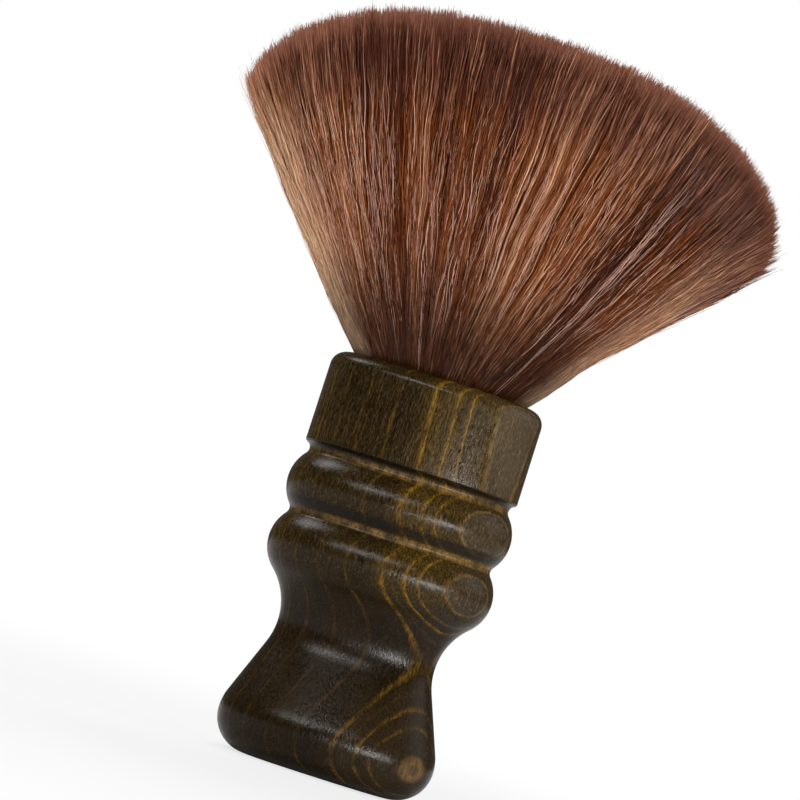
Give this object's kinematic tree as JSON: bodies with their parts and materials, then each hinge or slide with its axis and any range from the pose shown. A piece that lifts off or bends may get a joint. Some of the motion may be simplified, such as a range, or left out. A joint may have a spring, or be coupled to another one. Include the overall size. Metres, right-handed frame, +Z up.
{
  "type": "neck duster brush",
  "caption": "Neck duster brush: an oval moulded wooden handle with beads and a waist for grip, and a wide domed fan of soft filaments glued into its top.",
  "frame": {"origin": "middle of the flat foot of the handle, on the surface that the brush stands on", "axes": "+Z up along the brush from the foot to the filaments' tips, X across its width, Y through its depth with the front facing -Y"},
  "size_m": [0.1124, 0.0405, 0.1551],
  "materials": {
    "stained_wood": "dark olive-brown stain under satin lacquer, with lighter ochre growth lines",
    "bonding_resin": "clear amber casting resin",
    "filament": "fine soft synthetic filament, orange-brown with darker red-brown tips"
  },
  "bodies": {
    "root": {"handle": "stained_wood", "glue_bed": "bonding_resin", "bristles_front": "filament", "bristles_mid_front": "filament", "bristles_mid_back": "filament", "bristles_back": "filament"}
  },
  "joints": []
}
